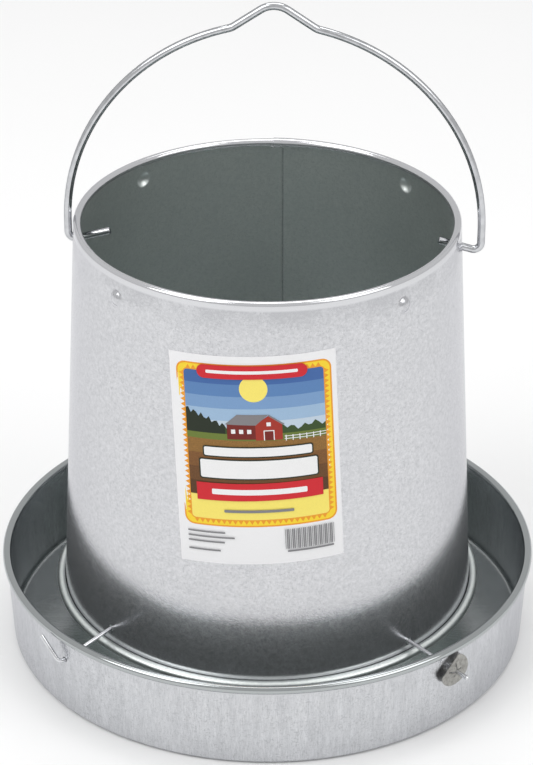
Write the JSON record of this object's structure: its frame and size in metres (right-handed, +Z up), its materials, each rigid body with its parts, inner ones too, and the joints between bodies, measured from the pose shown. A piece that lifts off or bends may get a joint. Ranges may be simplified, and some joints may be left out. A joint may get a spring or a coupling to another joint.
{
  "type": "gravity poultry feeder",
  "caption": "Hanging gravity feeder for poultry: a flared galvanised tube standing on crossed wires in a round rolled-rim pan, with a swinging wire bail.",
  "frame": {"origin": "centre of the pan's underside, on the floor", "axes": "+Z up along the tube's axis; -Y towards the front with the label; +Y towards the tube's seam; X along the bail's hinge line"},
  "size_m": [0.3048, 0.3048, 0.3807],
  "materials": {
    "tube_sheet": "satin galvanised sheet with a fine spangle",
    "pan_sheet": "satin galvanised sheet with upright drawing marks",
    "bail_wire": "bright zinc-plated wire",
    "cross_wire": "bright zinc-plated wire",
    "push_nut": "dull plated spring steel",
    "label_print": "printed white sticker, slightly glossy"
  },
  "bodies": {
    "feeder": {"feed_tube": "tube_sheet", "feed_pan": "pan_sheet", "cross_wire_upper": "cross_wire", "cross_wire_lower": "cross_wire", "push_nut_front": "push_nut", "push_nut_back": "push_nut", "label": "label_print"},
    "bail": {"bail_handle": "bail_wire"}
  },
  "joints": [
    {"name": "bail_swing", "type": "hinge", "parent": "feeder", "child": "bail", "pos_m": [0, 0, 0.242], "axis": [1, 0, 0], "range_deg": [-115, 115]}
  ]
}
